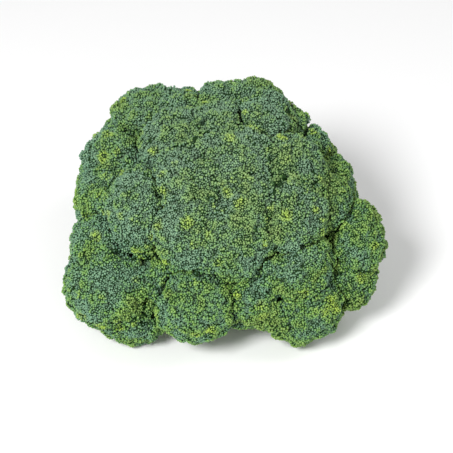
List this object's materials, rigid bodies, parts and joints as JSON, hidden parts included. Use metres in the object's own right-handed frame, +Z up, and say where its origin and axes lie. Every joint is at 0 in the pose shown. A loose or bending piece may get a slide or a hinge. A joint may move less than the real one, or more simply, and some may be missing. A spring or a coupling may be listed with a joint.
{
  "type": "broccoli head",
  "caption": "Whole head of broccoli resting on its cut stalk and front florets: a dense dome of bud-covered florets on a forked pale stalk.",
  "frame": {"origin": "centre of the stalk's cut face, which stands on the surface", "axes": "+Z up from the cut face, -Y to the front, where the crown leans, +X to the right as seen from the front"},
  "size_m": [0.2002, 0.187, 0.1331],
  "materials": {
    "stalk": "pale green plant skin, satin, with a paler cut face",
    "florets": "dark green closed flower buds, matt, with blue-green and yellow-green patches"
  },
  "bodies": {
    "root": {"stalk": "stalk", "floret_back_1": "florets", "floret_back_10": "florets", "floret_back_11": "florets", "floret_back_2": "florets", "floret_back_3": "florets", "floret_back_4": "florets", "floret_back_5": "florets", "floret_back_6": "florets", "floret_back_7": "florets", "floret_back_8": "florets", "floret_back_9": "florets", "floret_front_1": "florets", "floret_front_2": "florets", "floret_front_3": "florets", "floret_front_4": "florets", "floret_front_5": "florets", "floret_front_6": "florets", "floret_front_7": "florets", "floret_front_8": "florets", "floret_left_1": "florets", "floret_left_2": "florets", "floret_left_3": "florets", "floret_left_4": "florets", "floret_left_5": "florets", "floret_left_6": "florets", "floret_low_1": "florets", "floret_low_2": "florets", "floret_low_3": "florets", "floret_low_4": "florets", "floret_low_5": "florets", "floret_low_6": "florets", "floret_low_7": "florets", "floret_low_8": "florets", "floret_right_1": "florets", "floret_right_2": "florets", "floret_right_3": "florets", "floret_right_4": "florets", "floret_top_1": "florets", "floret_top_2": "florets", "floret_top_3": "florets", "floret_top_4": "florets", "floret_top_5": "florets", "floret_top_6": "florets", "floret_top_7": "florets"}
  },
  "joints": []
}
